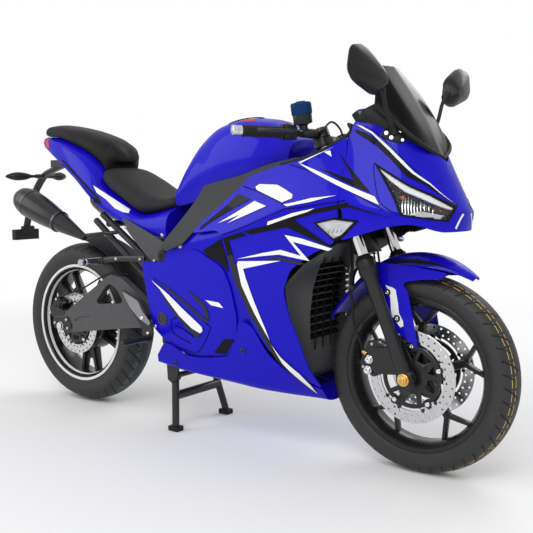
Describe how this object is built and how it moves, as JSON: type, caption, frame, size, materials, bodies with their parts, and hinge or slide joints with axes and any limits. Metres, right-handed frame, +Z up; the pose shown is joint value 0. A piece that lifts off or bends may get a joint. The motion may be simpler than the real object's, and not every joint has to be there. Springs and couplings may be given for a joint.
{
  "type": "electric bicycle",
  "caption": "Sport-styled electric two-wheeler with a full fairing, clip-on bars, tandem seat pads, hub motor wheel and centre stand.",
  "frame": {"origin": "centre of the bounding box on the floor, on the bike's centre plane", "axes": "+X forward, +Y to the rider's left, +Z up"},
  "size_m": [2.1366, 0.748, 1.2061],
  "materials": {
    "blue_paint": "gloss",
    "black_metal": "satin",
    "black_plastic": "satin",
    "grey_satin": "satin",
    "aluminium": "satin",
    "rubber": "matte",
    "seat_vinyl": "satin",
    "clear_lens": "gloss",
    "red_lens": "gloss",
    "smoked_screen": "gloss",
    "battery_case": "matte"
  },
  "bodies": {
    "bike": {"battery_block": "battery_case", "belly_pan": "blue_paint", "dashboard": "black_plastic", "front_signal_l": "clear_lens", "front_signal_r": "clear_lens", "headlight": "clear_lens", "knee_trim_l": "grey_satin", "knee_trim_r": "grey_satin", "lower_cover_l": "blue_paint", "lower_cover_r": "blue_paint", "main_frame": "black_metal", "mirror_l": "black_plastic", "mirror_r": "black_plastic", "muffler_l": "black_plastic", "muffler_r": "black_plastic", "nose_cowl": "blue_paint", "peg_bracket_l": "grey_satin", "peg_bracket_r": "grey_satin", "pillion_seat": "seat_vinyl", "plate_bracket": "black_plastic", "radiator_duct": "grey_satin", "rear_calliper": "black_metal", "rear_mudguard": "black_plastic", "rear_shock": "black_metal", "rider_peg_l": "black_metal", "rider_peg_r": "black_metal", "rider_seat": "seat_vinyl", "side_fairing_l": "blue_paint", "side_fairing_r": "blue_paint", "stand_carrier": "black_metal", "swingarm": "grey_satin", "tail_cowl": "blue_paint", "tail_lamp": "red_lens", "tank_cover": "blue_paint", "windscreen": "smoked_screen"},
    "steering": {"fork_leg_l": "black_metal", "fork_leg_r": "black_metal", "triple_clamp": "black_metal", "front_axle": "aluminium", "handlebar_l": "black_plastic", "handlebar_r": "black_plastic", "brake_control_l": "black_metal", "brake_control_r": "black_metal", "front_calliper_l": "black_metal", "front_calliper_r": "black_metal", "front_mudguard": "blue_paint"},
    "front_wheel": {"front_tyre": "rubber", "front_rim": "black_metal", "front_disc_l": "aluminium", "front_disc_r": "aluminium"},
    "rear_wheel": {"rear_tyre": "rubber", "rear_rim": "black_metal", "rear_disc": "aluminium"},
    "stand": {"centre_stand": "black_metal"}
  },
  "joints": [
    {"name": "steering_turn", "type": "hinge", "parent": "bike", "child": "steering", "pos_m": [0.52671, 0, 0.8016], "axis": [-0.3827, 0, 0.9239], "range_deg": [-26, 26]},
    {"name": "front_wheel_spin", "type": "hinge", "parent": "steering", "child": "front_wheel", "pos_m": [0.77526, 0, 0.293], "axis": [0, 1, 0], "continuous": true},
    {"name": "rear_wheel_spin", "type": "hinge", "parent": "bike", "child": "rear_wheel", "pos_m": [-0.66224, 0, 0.312], "axis": [0, 1, 0], "continuous": true},
    {"name": "stand_fold", "type": "hinge", "parent": "bike", "child": "stand", "pos_m": [-0.1172, 0, 0.182], "axis": [0, 1, 0], "range_deg": [0, 85]}
  ]
}
